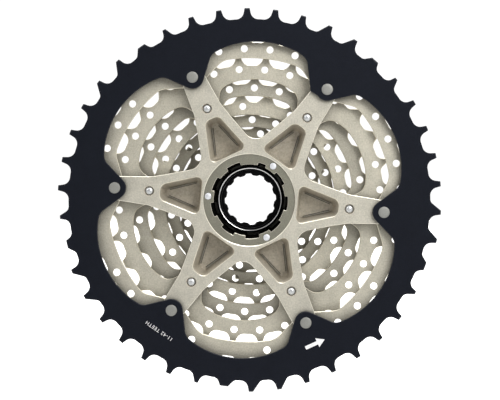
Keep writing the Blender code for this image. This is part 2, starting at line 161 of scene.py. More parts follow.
# A pocket's near and far end: distance from the axle, half width and corner radius.
POCKET_DEPTH = 10.3
POCKET_MOUTH = ((21.9, 8.9, 2.2), (40.2, 3.3, 3.2))
POCKET_BASE = ((22.5, 6.7, 1.6), (38.4, 1.8, 1.7))
POCKET_RIM = 0.3
POCKET_FOOT = 0.5

# Along the foot of a pocket's long walls, a rib and a painted shadow line: distance from the wall,
# width, height and material. They start and end at these places from the two ends of the pocket's base.
POCKET_RIBS = ((0.3, 0.3, 1.0, PLAIN), (0.62, 0.4, 0.05, POCKET_SHADOW_LINE))
RIB_START = (2.2, -0.55)
RIB_END = (-1.8, 0.35)
RIB_ROOT = 0.15

# The three fixing pins.
PIN_ANGLES = [54.8 + 120 * pin for pin in range(3)]
PIN_CIRCLE = 18.6
PIN_RADIUS = 1.5
PIN_DOME_RISE = 0.3
PIN_CHAMFER = 0.25

# The spacers, the spokes of the 24T and 21T, and the bosses of the 13T and 11T. A boss's bore
# is tighter by its inset.
SPACER_RADIUS = 23.2
BORE_HUB_RADIUS = 27.3
SPOKE_HALF_WIDTH = 5.5
SPOKE_CORNER = 1.2
SPOKE_RING_RADIUS = {24: 38.9, 21: 33.4}
BOSS_RADIUS = {13: 21.0, 11: 18.1}
BOSS_BORE_INSET = {13: -0.1, 11: -0.28}

# The lock ring. Its thread is a row of ring-shaped grooves, not a helix.
FLANGE_RADIUS = 17.3
FLANGE_THICKNESS = 1.5
FLANGE_LIP = 0.3
FLANGE_LIP_DEPTH = 0.85
FLANGE_CHAMFER = 0.45
BARREL_RADIUS = 15.25
BARREL_BORE = 13.4
THREAD_PITCH = 25.4 / 24
THREAD_DEPTH = 0.5
THREAD_START = 1.1
THREAD_VALLEY = 0.42
THREAD_RELIEF = 0.4
TOOL_NOTCHES = 12
TOOL_NOTCH_RADIUS = 12.1
TOOL_TOOTH_RADIUS = 11.25
TOOL_NOTCH_CORNER = 0.7
TOOL_TOOTH_CORNER = 0.6
TOOL_SPLINE_LENGTH = 5.25
FIRST_TOOL_NOTCH = 4.0
WASHER_OUTER_RADIUS = 16.9
WASHER_INNER_RADIUS = 15.6
WASHER_EDGE = 0.1

# Plain prints on the largest sprocket: the words and the arrow, with the circle and angle of
# each. A letter is CAPITAL_SHARE of its font size high, letters stand LETTER_SPACING times as
# far apart as usual, and points closer than WELD are joined.
PRINT_HEIGHT = 1.6
CAPITAL_SHARE = 0.7
LETTER_SPACING = 1.15
PRINT_RELIEF = 0.03
PRINT_GAP = 0.002
WELD = 0.001
LETTERS = ("11-42 TEETH", 71.2, 235.5)
ARROW = (70.8, 294.6)
ARROW_SHAPE = ((-0.8, -4.6), (-0.8, 1.2), (-2.2, 1.2), (0.0, 4.8), (2.2, 1.2), (0.8, 1.2), (0.8, -4.6))

# The surroundings: brightness from straight in front of the object to straight behind it, what
# that is multiplied by from straight below to straight above, the direction that counts as
# above, and the lights: name, position, size and power.
SKY_UP = (0.2, 0.0, 0.98)
SKY_AROUND = ((0.0, 0.22), (0.2, 0.25), (0.42, 1.0), (0.6, 1.1), (0.75, 0.8), (0.96, 0.75), (0.985, 1.05))
SKY_HEIGHT = ((0.0, 0.1), (0.36, 0.3), (0.46, 1.0), (1.0, 1.3))
LIGHTS = (
    ("key", (0.26, -0.4, 0.3), 0.3, 2.35),
    ("fill", (-0.7, -0.65, 0.6), 0.6, 3.1),
    ("top", (0.1, -0.12, 0.8), 0.5, 3.6),
)

# The floor, in metres: where it turns from dark in front of the object to bright behind it, and
# the brightness of its glow and of its paint over that stretch.
FLOOR_SIZE = 3.0
FLOOR_GAP = 0.0002
FLOOR_STRETCH = (-0.06, 0.03)
FLOOR_GLOW = ((0.0, 0.0), (0.35, 0.12), (1.0, 1.0))
FLOOR_PAINT = ((0.0, 0.55), (0.35, 0.62), (1.0, 0.82))

# The camera, in metres: its lens and sensor are in millimetres, its distance along the axle is
# from the rear face of the largest sprocket, and it looks at a point on that face.
CAMERA_LENS = 112.6
CAMERA_SENSOR = 36
CAMERA_DISTANCE = 0.7
CAMERA_PLACE = (0.0112, 0.009)
CAMERA_TARGET = (0.0004, 0.00005)

# Metals: the grain's share of the mottled tone against the broad part, the noise values between
# which the tone spreads, how far gloss varies, the height of the bump and, for the painted shade,
# how near other surfaces have to be, in metres, to darken a metal.
GRAIN_SHARE = 0.65
MOTTLE = 180
BROAD_DETAIL = 4.0
FINE_DETAIL = 2.0
TONE_SPREAD = (0.32, 0.68)
GLOSS_SPREAD = (-0.07, 0.09)
BUMP_HEIGHT = 0.00008
PAINTED_SHADE_REACH = 0.005
PAINTED_SHADE_SAMPLES = 6

# Tooth count: angle of the first tooth, circle of holes, and the teeth without a hole.
SPROCKETS = {
    42: (-3.69, None, ()),
    37: (4.3, 68.1, (13, 19, 20, 26, 27, 34)),
    32: (4.5, 59.2, (2, 3, 11, 18, 19, 27)),
    28: (10.35, 51.0, (1, 2, 9, 12, 15, 16, 23, 26)),
    24: (4.25, 42.8, (5, 13, 21)),
    21: (2.6, 36.8, ()),
    18: (0.9, 30.8, ()),
    15: (2.0, None, ()),
    13: (5.0, None, ()),
    11: (0.0, None, ()),
}

# Tooth count: how many shift gates, and the tooth of the first.
GATES = {
    42: (5, 6.2),
    37: (4, 4.0),
    32: (4, 2.0),
    28: (4, 1.0),
    24: (3, 5.0),
    21: (3, 1.0),
    18: (2, 2.0),
    15: (2, 1.0),
}

# A tooth: drop of its tip, then for the side before and the side after its middle the half
# width of the tip, the run of the flank and the radius at the flank's foot.
PLAIN_TOOTH = (0.0, (1.15, 1.1, VALLEY_CORNER), (1.15, 1.1, VALLEY_CORNER))
GATE_TEETH = {
    -1: (0.65, (0.3, 2.4, 2.8), (1.2, 1.1, 3.2)),
    0: (1.75, (1.5, 1.7, 2.8), (2.1, 2.8, 2.4)),
    1: (0.0, (1.0, 1.1, VALLEY_CORNER), (0.85, 3.9, 2.4)),
    2: (0.0, (1.0, 1.1, VALLEY_CORNER), (0.85, 3.9, 2.4)),
}

# Half a window of a riveted sprocket: radius, angle and corner radius, from its middle.
WINDOW_EDGE = {
    37: ((64.0, 0.0, 50), (64.0, 8.0, 50), (64.0, 15.8, 8), (56.9, 27.5, 4)),
    32: ((55.1, 0.0, 30), (54.3, 10.8, 20), (52.4, 19.8, 6), (41.6, 25.3, 2.5)),
    28: ((47.4, 0.0, 30), (47.4, 9.0, 30), (47.1, 17.5, 5), (41.6, 25.0, 2.5)),
}

# The largest sprocket's window: a wide arc, then a straight flank to the lug's round tip.
WINDOW_ARC_CENTRE = 32.7
WINDOW_ARC_RADIUS = 38.4
WINDOW_ARC_STEPS = 14
LUG_TIP_RADIUS = 5.1
FLANK_ANGLE = 41.5
WINDOW_CORNER_RADIUS = 5.5
WIDE_LUG_WINDOW = 1
WIDE_LUG_EXTRA = 2.4
WIDE_LUG_TURNS = (24, 16, 8, 0)


def point(radius, angle):
    return Vector((radius * cos(radians(angle)), radius * sin(radians(angle))))


def circle(radius, sides, centre=(0, 0)):
    return [Vector(centre) + point(radius, 360 * i / sides) for i in range(sides)]


def turned(points, angle):
    turn = point(1, angle)
    return [Vector((p.x * turn.x - p.y * turn.y, p.x * turn.y + p.y * turn.x)) for p in points]


def mirrored(corners):
    return [(Vector((p.x, -p.y)), corner) for p, corner in reversed(corners)]


def turned_corners(corners, angle):
    return list(zip(turned([p for p, _ in corners], angle), [corner for _, corner in corners]))


def rounded(corners, steps=8):
    """The closed outline through the corners (point, radius), each rounded by its radius."""
    outline = []
    for i, (corner, radius) in enumerate(corners):
        if not radius:
            outline.append(corner)
            continue
        back = (corners[i - 1][0] - corner).normalized()
        ahead = (corners[(i + 1) % len(corners)][0] - corner).normalized()
        half = back.angle(ahead) / 2
        centre = corner + (back + ahead).normalized() * radius / sin(half)
        first = corner + back * radius / (sin(half) / cos(half)) - centre
        last = corner + ahead * radius / (sin(half) / cos(half)) - centre
        for step in range(steps + 1):
            outline.append(centre + first.lerp(last, step / steps).normalized() * radius)
    return outline


def shifted(points, distance):
    """The outline with every point moved outwards along its normal by its distance."""
    ahead = points[1:] + points[:1]
    area = sum(p.x * q.y - q.x * p.y for p, q in zip(points, ahead))
    side = 1 if area > 0 else -1
    distances = distance if isinstance(distance, list) else [distance] * len(points)
    moved = []
    for i, (p, q) in enumerate(zip(points, ahead)):
        before, after = (p - points[i - 1]).normalized(), (q - p).normalized()
        one, other = Vector((before.y, -before.x)) * side, Vector((after.y, -after.x)) * side
        normal = (one + other).normalized()
        moved.append(p + normal * distances[i] / max(MITRE_LIMIT, normal.dot(one)))
    return moved


def pitch_radius(teeth):
    return CHAIN_PITCH / 2 / sin(pi / teeth)


def gate_teeth(teeth):
    count, first = GATES.get(teeth, (0, 0))
    return [round(first + i * teeth / count) for i in range(count)]


def gate_offsets(teeth):
    """Tooth number to its place beside a shift gate, for the teeth that have one."""
    return {(gate + offset) % teeth: offset for gate in gate_teeth(teeth) for offset in GATE_TEETH}


def toothed_outline(teeth, inset=0.0, tip_inset=0.0):
    """Tooth tips with just broken corners, and round-bottomed valleys between them."""
    radius, step = pitch_radius(teeth), 360 / teeth
    root = radius - ROLLER_SEAT - inset
    tip_corner = TIP_CORNER - TIP_CORNER_LOSS * tip_inset
    offsets = gate_offsets(teeth)
    corners = []
    for tooth in range(teeth):
        middle = SPROCKETS[teeth][0] + tooth * step
        drop, before, after = GATE_TEETH.get(offsets.get(tooth), PLAIN_TOOTH)
        tip = radius + TIP_RISE - drop
        sides = []
        for side, (half_width, run, corner) in ((-1, before), (1, after)):
            end = point(tip - tip_inset, middle + side * degrees((half_width - inset) / tip))
            foot = point(root, middle + side * degrees((half_width + run - inset) / tip))
            sides.append([(end, tip_corner), (foot, corner)])
        corners += [(point(root, middle - step / 2), 0)] + sides[0][::-1] + sides[1]
    return rounded(corners, steps=6)


def spline_bore():
    """The bore that slides on the freehub: crests between notches, with small corner radii."""
    corners = []
    for notch in range(SPLINE_NOTCHES):
        middle = FIRST_NOTCH + notch * 360 / SPLINE_NOTCHES
        start = middle - NOTCH_HALF_ANGLE
        end = middle + (NARROW_NOTCH_END if notch == NARROW_NOTCH else NOTCH_HALF_ANGLE)
        following = middle + 360 / SPLINE_NOTCHES - NOTCH_HALF_ANGLE
        for radius, first, last in ((NOTCH_RADIUS, start, end), (CREST_RADIUS, end, following)):
            corners.append((point(radius, first), SPLINE_CORNER))
            corners += [(point(radius, first + (last - first) * i / 4), 0) for i in (1, 2, 3)]
            corners.append((point(radius, last), SPLINE_CORNER))
    return rounded(corners, steps=2)


def window_middle(window):
    return FIRST_ARM + SECTOR * (window + 0.5)


def lug_ring_edge(teeth):
    """The inner edge of a sprocket whose lugs reach in to the rivets."""
    half = [(point(radius, angle), corner) for radius, angle, corner in WINDOW_EDGE[teeth]]
    corners = []
    for window in range(ARMS):
        corners += turned_corners(mirrored(half[1:]) + half, window_middle(window))
    return rounded(corners, steps=6)


def half_window_of_largest(extra):
    """Half of a window in the largest sprocket, from its middle to the lug's middle."""
    lug = SECTOR / 2
    tip = point(OUTER_RIVET_CIRCLE, lug)
    along = point(1, lug - FLANK_ANGLE)
    flank = tip + point(1, lug - FLANK_ANGLE - 90) * (LUG_TIP_RADIUS + extra)
    centre = Vector((WINDOW_ARC_CENTRE, 0))
    towards = flank - centre
    reach = along.dot(towards)
    far = sqrt(reach**2 - towards.length_squared + WINDOW_ARC_RADIUS**2) - reach
    corner = flank + along * far
    swing = degrees(asin(corner.y / WINDOW_ARC_RADIUS))
    steps = range(WINDOW_ARC_STEPS - 2)
    arc = [(centre + point(WINDOW_ARC_RADIUS, swing * i / WINDOW_ARC_STEPS), 0) for i in steps]
    turns = WIDE_LUG_TURNS if extra else [(90 - FLANK_ANGLE) * (1 - i / 8) for i in range(1, 9)]
    lug_end = [(tip + point(LUG_TIP_RADIUS, lug + 180 + turn), 0) for turn in turns]
    return arc + [(corner, WINDOW_CORNER_RADIUS), (flank, 0)] + lug_end


def largest_ring_edge():
    corners = []
    for window in range(ARMS):
        wide = WIDE_LUG_EXTRA if window == WIDE_LUG_WINDOW else 0
        before = mirrored(half_window_of_largest(wide)[1:-1])
        corners += turned_corners(before + half_window_of_largest(0), window_middle(window))
    return rounded(corners, steps=8)


def spoke_openings(teeth):
    """Six openings between the splined hub and the ring of a smaller sprocket."""
    steps = 6
    corners = []
    for radius, sign in ((BORE_HUB_RADIUS, 1), (SPOKE_RING_RADIUS[teeth], -1)):
        reach = SECTOR / 2 - degrees(asin(SPOKE_HALF_WIDTH / radius))
        for i in range(-steps, steps + 1):
            corner = 0 if abs(i) < steps else SPOKE_CORNER
            corners.append((point(radius, sign * reach * i / steps), corner))
    return [rounded(turned_corners(corners, window_middle(window)), steps=4) for window in range(ARMS)]


def arm_outline(reach, narrower, tip_half, tip_corner):
    """The spider seen along the axle: six tapered arms that meet in round fillets."""
    corners = []
    for angle in ARM_ANGLES:
        bends = [(along, half - narrower) for along, half in ARM_BENDS if along < reach - tip_corner]
        side = [(Vector((reach, tip_half)), tip_corner)] + [(Vector(bend), ARM_BEND_CORNER) for bend in bends]
        valley = (point(ARM_VALLEY - narrower, SECTOR / 2), ARM_VALLEY_CORNER)
        corners += turned_corners(mirrored(side) + side + [valley], angle)
    return rounded(corners, steps=8)


def pocket(ends):
    side = [(Vector((radius, half_width)), corner) for radius, half_width, corner in ends]
    return rounded(side + mirrored(side), steps=8)


def tool_spline():
    """Twelve notches between blunt teeth, two corners to each."""
    step = 360 / TOOL_NOTCHES
    corners = []
    for notch in range(TOOL_NOTCHES):
        middle = FIRST_TOOL_NOTCH + notch * step
        for radius, corner, sixths in (
            (TOOL_NOTCH_RADIUS, TOOL_NOTCH_CORNER, (-1, 1)),
            (TOOL_TOOTH_RADIUS, TOOL_TOOTH_CORNER, (2, 4)),
        ):
            corners += [(point(radius, middle + step * sixth / 6), corner) for sixth in sixths]
    return rounded(corners, steps=4)


class Form:
    """One closed mesh made of rings of points, with walls between rings and caps across them."""

    def __init__(self):
        self.mesh = bmesh.new()

    def ring(self, points, depth):
        depths = depth if isinstance(depth, list) else [depth] * len(points)
        return [self.mesh.verts.new((p.x * MM, y * MM, p.y * MM)) for p, y in zip(points, depths)]

    def wall(self, one, other, look=0):
        for i in range(len(one)):
            face = self.mesh.faces.new((one[i - 1], one[i], other[i], other[i - 1]))
            face.material_index = look

    def cap(self, rings, look=0):
        edges = []
        for ring in rings:
            for i in range(len(ring)):
                pair = (ring[i - 1], ring[i])
                edges.append(self.mesh.edges.get(pair) or self.mesh.edges.new(pair))
        filled = bmesh.ops.triangle_fill(self.mesh, use_beauty=True, edges=edges)
        for item in filled["geom"]:
            if isinstance(item, bmesh.types.BMFace):
                item.material_index = look

    def stack(self, sections, looks=()):
        """Rings through the sections (points, depth), walled in order. Returns all the rings."""
        rings = [self.ring(points, depth) for points, depth in sections]
        for i, (one, other) in enumerate(zip(rings, rings[1:])):
            self.wall(one, other, looks[i] if i < len(looks) else 0)
        return rings

    def data(self, name, materials, sharp=SHARP_BEND):
        """The finished mesh, smooth except along its sharp edges."""
        bmesh.ops.recalc_face_normals(self.mesh, faces=self.mesh.faces)
        mesh = bpy.data.meshes.new(name)
        self.mesh.to_mesh(mesh)
        self.mesh.free()
        mesh.shade_smooth()
        mesh.set_sharp_from_angle(angle=radians(sharp))
        for material in materials:
            mesh.materials.append(material)
        return mesh

    def piece(self, name, materials, body, slot, node):
        place(name, self.data(name, materials), body, node)


def place(name, mesh, body, node, location=(0, 0)):
    """An object that rides on its CAD body and, unless it is a print, stands for its CAD node."""
    piece = bpy.data.objects.new(name, mesh)
    bpy.context.scene.collection.objects.link(piece)
    piece.location = (location[0] * MM, 0, location[1] * MM)
    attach(piece, body)
    if node:
        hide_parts(node)


def span(node):
    """Where a CAD node starts and ends along the axle, in millimetres."""
    low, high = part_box(node)
    return low.y / MM, high.y / MM


def broken_edge(outline, rear, front, grow, edge=EDGE):
    """The sections of a straight wall with both its edges broken. grow is 1 for a hole, else -1."""
    inner = shifted(outline, grow * edge)
    return [(inner, rear), (outline, rear + edge), (outline, front - edge), (inner, front)]


def tooth_edge(teeth, rear, front):
    """The sections of a toothed edge, whose teeth thin towards their tips."""
    outline = toothed_outline(teeth)
    start = pitch_radius(teeth) - THINNING_START
    shares = [min(1, max(0, (p.length - start) / THINNING_LENGTH)) for p in outline]
    drops = [EDGE + (TIP_CHAMFER_DEPTH - EDGE) * share for share in shares]
    faces = toothed_outline(teeth, EDGE, TIP_CHAMFER)
    return [
        (faces, rear),
        (outline, [rear + drop for drop in drops]),
        (outline, [front - drop for drop in drops]),
        (faces, front),
    ]


def tapered_holes(circle_radius, rear_radius, front_radius, rear, front):
    """Conical holes on the arms, each the shape of the rivet head that it holds."""
    centres = [point(circle_radius, angle) for angle in ARM_ANGLES]
    ends = ((rear_radius, rear), (front_radius, front))
    return [[(circle(radius, HOLE_SIDES, centre), depth) for radius, depth in ends] for centre in centres]


def straight_holes(circle_radius, angles, radius, rear, front):
    centres = [point(circle_radius, angle) for angle in angles]
    return [broken_edge(circle(radius, HOLE_SIDES, centre), rear, front, 1) for centre in centres]


def pin_holes(rear, front):
    return straight_holes(PIN_CIRCLE, PIN_ANGLES, PIN_RADIUS + RIVET_CLEARANCE, rear, front)


def hole_angles(teeth):
    first, circle_radius, left_out = SPROCKETS[teeth]
    return [first + k * 360 / teeth for k in range(teeth) if k not in left_out] if circle_radius else []


def shift_ramps(form, teeth, front):
    """Shallow stamped ramps on the front face: where each run of left-out holes starts or, on a
    sprocket without holes, beside each gate. Returns the rings at the face."""
    mouths = []
    first_tooth, circle_radius, left_out = SPROCKETS[teeth]
    places = [k for k in left_out if k - 1 not in left_out]
    if circle_radius is None:
        places = [gate + RAMP_AFTER_GATE for gate in gate_teeth(teeth)]
    foot = pitch_radius(teeth) - ROLLER_SEAT - RAMP_INSET
    shape = rounded([(Vector((foot + y, x)), RAMP_CORNER) for x, y in RAMP_SHAPE], steps=4)
    for place_in_teeth in places:
        mouth = turned(shape, first_tooth + place_in_teeth * 360 / teeth)
        rings = form.stack([(mouth, front), (shifted(mouth, -RAMP_DRAFT), front - RAMP_DEPTH)], (EDGES,))
        form.cap([rings[1]])
        mouths.append(rings[0])
    return mouths


def sprocket(teeth, materials, slot, openings, inner_looks):
    """A flat sprocket of the cluster. The first of its openings has its inner looks."""
    node = f"sprocket_{teeth}t"
    rear, front = span(node)
    form = Form()
    inner, *others = openings(rear, front)
    others += straight_holes(SPROCKETS[teeth][1], hole_angles(teeth), HOLE_RADIUS, rear, front)
    stacks = [form.stack(tooth_edge(teeth, rear, front), BROKEN_EDGES), form.stack(inner, inner_looks)]
    stacks += [form.stack(hole, BROKEN_EDGES) for hole in others]
    form.cap([rings[0] for rings in stacks])
    form.cap([rings[-1] for rings in stacks] + shift_ramps(form, teeth, front))
    form.piece(node + "_detailed", materials, "cluster", slot, node)


def printed(name, outline, radius, angle, materials):
    """A thin plain print on the rear face of the largest sprocket."""
    rear, _ = span("sprocket_42t")
    form = Form()
    moved = turned([p + Vector((radius, 0)) for p in outline], angle)
    for ring in form.stack([(moved, rear - PRINT_RELIEF), (moved, rear - PRINT_GAP)]):
        form.cap([ring])
    form.piece(name, materials, "cluster", "black_sprocket", None)


def arrow_print(materials):
    """An arrow that shows which way the cassette turns."""
    printed("turning_arrow", [Vector(p) for p in ARROW_SHAPE], *ARROW, materials)


def letter_print(materials):
    """The range of teeth in plain letters, with their tops outwards."""
    words, radius, angle = LETTERS
    rear, _ = span("sprocket_42t")
    curve = bpy.data.curves.new("letters", "FONT")
    curve.body = words
    curve.size = PRINT_HEIGHT * MM / CAPITAL_SHARE
    curve.align_x, curve.align_y = "CENTER", "CENTER"
    curve.extrude = PRINT_RELIEF * MM / 2
    curve.space_character = LETTER_SPACING
    holder = bpy.data.objects.new("letters", curve)
    bpy.context.scene.collection.objects.link(holder)
    bpy.context.view_layer.update()
    mesh = bpy.data.meshes.new_from_object(holder.evaluated_get(bpy.context.evaluated_depsgraph_get()))
    bpy.data.objects.remove(holder)
    form = bmesh.new()
    form.from_mesh(mesh)
    bmesh.ops.remove_doubles(form, verts=form.verts, dist=WELD * MM)
    form.to_mesh(mesh)
    form.free()
    where = point(radius, angle)
    depth = rear - PRINT_RELIEF / 2 - PRINT_GAP
    move = Matrix.Translation((where.x * MM, depth * MM, where.y * MM))
    stand = Matrix.Rotation(radians(90), 4, "X")
    mesh.transform(move @ stand @ Matrix.Rotation(radians(angle - 90), 4, "Z"))
    mesh.materials.clear()
    for material in materials:
        mesh.materials.append(material)
    place("letter_print", mesh, "cluster", None)


def sprocket_with_boss(teeth, body, materials):
    """A small sprocket with its own boss behind the teeth."""
    node = f"sprocket_{teeth}t"
    start, front = span(node)
    rear = front - PLATE
    form = Form()
    edge = form.stack(tooth_edge(teeth, rear, front), BROKEN_EDGES)
    outline = shifted(spline_bore(), BOSS_BORE_INSET[teeth])
    bore = form.stack(broken_edge(outline, start, front, 1), DARK_BORE)
    ring = circle(BOSS_RADIUS[teeth], RING_SIDES)
    boss = form.stack([(shifted(ring, -EDGE), start), (ring, start + EDGE), (ring, rear)], (EDGES, PLAIN))
    form.cap([boss[0], bore[0]])
    form.cap([edge[0], boss[-1]])
    form.cap([edge[-1], bore[-1]])
    form.piece(node + "_detailed", materials, body, "nickel_sprocket", node)


def splined_holes(teeth):
    """The bore, pin holes and spoke openings of a sprocket on the long pins."""

    def sections(rear, front):
        holes = [broken_edge(spline_bore(), rear, front, 1)] + pin_holes(rear, front)
        if teeth in SPOKE_RING_RADIUS:
            holes += [broken_edge(opening, rear, front, 1) for opening in spoke_openings(teeth)]
        return holes

    return sections


def riveted_holes(teeth):
    """The inner edge and rivet holes of a sprocket on the spider's arms."""
    head, shank = OUTER_RIVET_HEAD + RIVET_CLEARANCE, OUTER_RIVET_SHANK + RIVET_CLEARANCE
    dome, sink = INNER_RIVET_DOME + RIVET_CLEARANCE, INNER_RIVET_SINK + RIVET_CLEARANCE
    edge = largest_ring_edge() if teeth == 42 else lug_ring_edge(teeth)

    def sections(rear, front):
        holes = [broken_edge(edge, rear, front, 1, WINDOW_BREAK)]
        if teeth == 42:
            return holes + tapered_holes(OUTER_RIVET_CIRCLE, head, shank, rear, front)
        if teeth == 37:
            return holes + tapered_holes(OUTER_RIVET_CIRCLE, shank, head, rear, front)
        if teeth == 32:
            return holes + straight_holes(INNER_RIVET_CIRCLE, ARM_ANGLES, dome, rear, front)
        return holes + tapered_holes(INNER_RIVET_CIRCLE, dome, sink, rear, front)

    return sections


def pocket_ribs(form, angle, floor):
    """A fine rib and a painted shadow line along the foot of a pocket's two long walls."""
    (near, near_half, _), (far, far_half, _) = POCKET_BASE
    start = (near + RIB_START[0], near_half + RIB_START[1])
    end = (far + RIB_END[0], far_half + RIB_END[1])
    for side in (1, -1):
        for inward, width, height, look in POCKET_RIBS:
            ends = [(x, y - inward) for x, y in (start, end)]
            shape = [Vector((x, side * y)) for x, y in ends]
            shape += [Vector((x, side * (y - width))) for x, y in reversed(ends)]
            shape = turned(shape, angle)
            rings = form.stack([(shape, floor - height), (shape, floor + RIB_ROOT)], (look,))
            for ring in rings:
                form.cap([ring], look)


def spider(materials):
    """The carrier: bevelled arms stepped down in front, drafted pockets and a splined hub."""
    rear, front = span("spider")
    steps = (rear, rear + ARM_STEPS[0], rear + ARM_STEPS[1], front)
    form = Form()

    levels = []
    for outline, start, end in zip([arm_outline(*shape) for shape in ARM_REACH], steps, steps[1:]):
        sections = [(outline, start), (outline, end - EDGE), (shifted(outline, -EDGE), end)]
        looks = (PLAIN, EDGES)
        if start == rear:
            sections[0:1] = [(shifted(outline, -ARM_EDGE), rear), (outline, rear + EDGE)]
            looks = BROKEN_EDGES
        levels.append(form.stack(sections, looks))

    outer, inner, pockets = [], [], []
    cap_hole = INNER_RIVET_CAP + RIVET_CLEARANCE
    for angle in ARM_ANGLES:
        hole = circle(ARM_HOLE_RADIUS, HOLE_SIDES, point(OUTER_RIVET_CIRCLE, angle))
        outer.append(form.stack(broken_edge(hole, rear, steps[1], 1)))
        centre = point(INNER_RIVET_CIRCLE, angle)
        dish = [(radius, rear + depth) for radius, depth in (*DISH, (cap_hole, DISH_DEPTH))]
        dish.append((cap_hole, steps[2]))
        sections = [(circle(radius, RIVET_SIDES, centre), depth) for radius, depth in dish]
        inner.append(form.stack(sections, (POCKET, POCKET, BORE)))

    mouth, base, floor = pocket(POCKET_MOUTH), pocket(POCKET_BASE), rear + POCKET_DEPTH
    for angle in ARM_ANGLES:
        sections = [
            (turned(shifted(mouth, POCKET_RIM), angle), rear),
            (turned(mouth, angle), rear + POCKET_RIM),
            (turned(base, angle), floor - POCKET_FOOT),
            (turned(shifted(base, -POCKET_FOOT), angle), floor),
        ]
        rings = form.stack(sections, (EDGES, POCKET, POCKET))
        form.cap([rings[-1]], POCKET)
        pockets.append(rings)
        pocket_ribs(form, angle, floor)

    rim = circle(RECESS_RADIUS, WIDE_RING_SIDES)
    sections = [(shifted(rim, RECESS_RIM), rear), (rim, rear + RECESS_RIM_DEPTH), (rim, SEAT)]
    recess = form.stack(sections, (EDGES, RECESS))
    bore = form.stack(broken_edge(spline_bore(), SEAT, front, 1), (EDGES, BORE, EDGES))
    pins = [form.stack(hole, (RECESS, BORE, EDGES)) for hole in pin_holes(SEAT, front)]

    form.cap([levels[0][0], recess[0]] + [rings[0] for rings in outer + inner + pockets])
    form.cap([recess[-1], bore[0]] + [rings[0] for rings in pins], RECESS)
    form.cap([levels[0][-1], levels[1][0]] + [rings[-1] for rings in outer])
    form.cap([levels[1][-1], levels[2][0]] + [rings[-1] for rings in inner])
    form.cap([levels[2][-1], bore[-1]] + [rings[-1] for rings in pins])
    form.piece("spider_detailed", materials, "cluster", "champagne_alloy", "spider")


def turned_mesh(name, profile, materials):
    """A solid turned about its own axis from (radius, depth) pairs, rear end first."""
    form = Form()
    rings = form.stack([(circle(radius, RIVET_SIDES), depth) for radius, depth in profile])
    form.cap([rings[0]])
    form.cap([rings[-1]])
    return form.data(name, materials, SHARP_RIVET_BEND)


def ring_form(outer, inner, rear, front, looks=(), edge=EDGE):
    """A flat ring with broken edges between an outer and an inner outline."""
    form = Form()
    stacks = [
        form.stack(broken_edge(outer, rear, front, -1, edge), looks),
        form.stack(broken_edge(inner, rear, front, 1, edge), looks),
    ]
    form.cap([rings[0] for rings in stacks])
    form.cap([rings[-1] for rings in stacks])
    return form


def dome(radius, rise, rear, step):
    """The rear end of a rivet or pin, as (radius, depth) pairs that are step degrees apart."""
    angles = [radians(angle) for angle in range(step, 91, step)]
    return [(radius * sin(angle), rear + rise * (1 - cos(angle))) for angle in angles]


def on_circle(kind, mesh, radius, angles):
    for number, angle in enumerate(angles, 1):
        node = f"{kind}_{number}"
        place(node + "_detailed", mesh, "cluster", node, point(radius, angle))


def outer_rivets(materials):
    """Flat rivets with a broken rear edge, countersunk at both ends."""
    rear, front = span("outer_rivet_1")
    head, shank = OUTER_RIVET_HEAD, OUTER_RIVET_SHANK
    profile = [
        (head - 1.6, rear + 0.04),
        (head - 0.35, rear),
        (head - 0.08, rear + 0.12),
        (head, rear + 0.35),
        (shank, rear + OUTER_HEAD_DEPTH),
        (shank, front - PLATE),
        (head, front - 0.3),
        (head - 0.2, front - 0.05),
        (head - 1.2, front),
    ]
    mesh = turned_mesh("outer_rivet_form", profile, materials)
    on_circle("outer_rivet", mesh, OUTER_RIVET_CIRCLE, ARM_ANGLES)


def inner_rivets(materials):
    """Rivets with a dome at the rear and a countersunk head in front."""
    rear, front = span("inner_rivet_1")
    profile = dome(INNER_RIVET_CAP, INNER_DOME_RISE, rear, 9) + [
        (INNER_RIVET_CAP, rear + 1.5),
        (INNER_RIVET_DOME, rear + 1.9),
        (INNER_RIVET_DOME, front - PLATE),
        (INNER_RIVET_SINK, front - 0.2),
        (INNER_RIVET_SINK - 0.2, front),
    ]
    mesh = turned_mesh("inner_rivet_form", profile, materials)
    on_circle("inner_rivet", mesh, INNER_RIVET_CIRCLE, ARM_ANGLES)


def fixing_pins(materials):
    rear, front = span("fixing_pin_1")
    end = [(PIN_RADIUS, front - PIN_CHAMFER), (PIN_RADIUS - PIN_CHAMFER, front)]
    profile = dome(PIN_RADIUS, PIN_DOME_RISE, rear, 15) + end
    mesh = turned_mesh("fixing_pin_form", profile, materials)
    on_circle("fixing_pin", mesh, PIN_CIRCLE, PIN_ANGLES)


def rivet_collars(materials):
    rear, front = span("rivet_collar_1")
    outer = circle(COLLAR_RADIUS, COLLAR_SIDES)
    inner = circle(INNER_RIVET_DOME + RIVET_CLEARANCE, COLLAR_SIDES)
    mesh = ring_form(outer, inner, rear, front, BROKEN_EDGES).data("rivet_collar_form", materials)
    on_circle("rivet_collar", mesh, INNER_RIVET_CIRCLE, ARM_ANGLES)


def spacers(materials):
    """The plain rings between the small sprockets. Of their two materials the second is for the bore."""
    plain, dark = range(2)
    for behind, ahead in ((24, 21), (21, 18), (18, 15)):
        node = f"spacer_{behind}_{ahead}"
        rear, front = span(node)
        form = Form()
        holes = [broken_edge(spline_bore(), rear, front, 1)] + pin_holes(rear, front)
        stacks = [form.stack(broken_edge(circle(SPACER_RADIUS, WIDE_RING_SIDES), rear, front, -1))]
        stacks += [form.stack(hole, (dark, dark, plain)) for hole in holes]
        form.cap([rings[0] for rings in stacks])
        form.cap([rings[-1] for rings in stacks])
        form.piece(node + "_detailed", materials, "cluster", "black_polymer", node)


